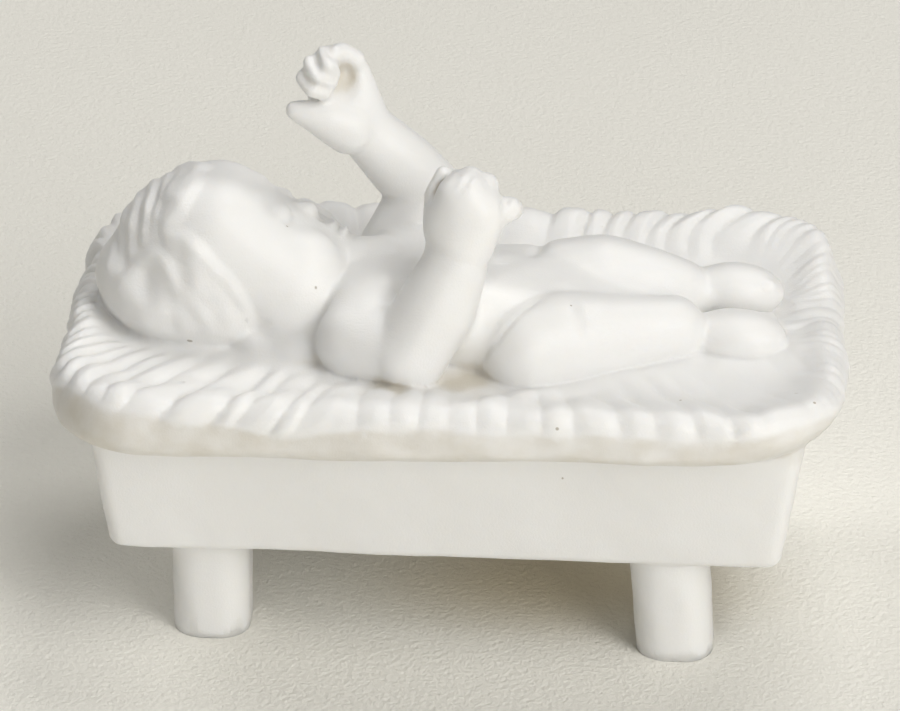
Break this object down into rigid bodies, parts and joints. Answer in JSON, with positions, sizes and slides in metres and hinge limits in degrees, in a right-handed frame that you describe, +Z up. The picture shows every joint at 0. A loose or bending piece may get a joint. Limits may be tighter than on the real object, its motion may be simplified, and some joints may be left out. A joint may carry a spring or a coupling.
{
  "type": "infant in manger figurine",
  "caption": "White unglazed porcelain figurine of an infant lying on a straw bed with both arms raised, on a low tapered manger box with stub feet.",
  "frame": {"origin": "on the floor, under the middle of the piece as seen from above", "axes": "+Z up, +X along the manger from the infant's head towards its feet, +Y across the manger towards the infant's left side, so the side with the elbow on the rim faces -Y"},
  "size_m": [0.0811, 0.05, 0.0572],
  "materials": {
    "white_bisque": "unglazed white bisque porcelain, satin matt and slightly translucent, with faint warm soil in the creases"
  },
  "bodies": {
    "root": {"infant_in_manger": "white_bisque"}
  },
  "joints": []
}
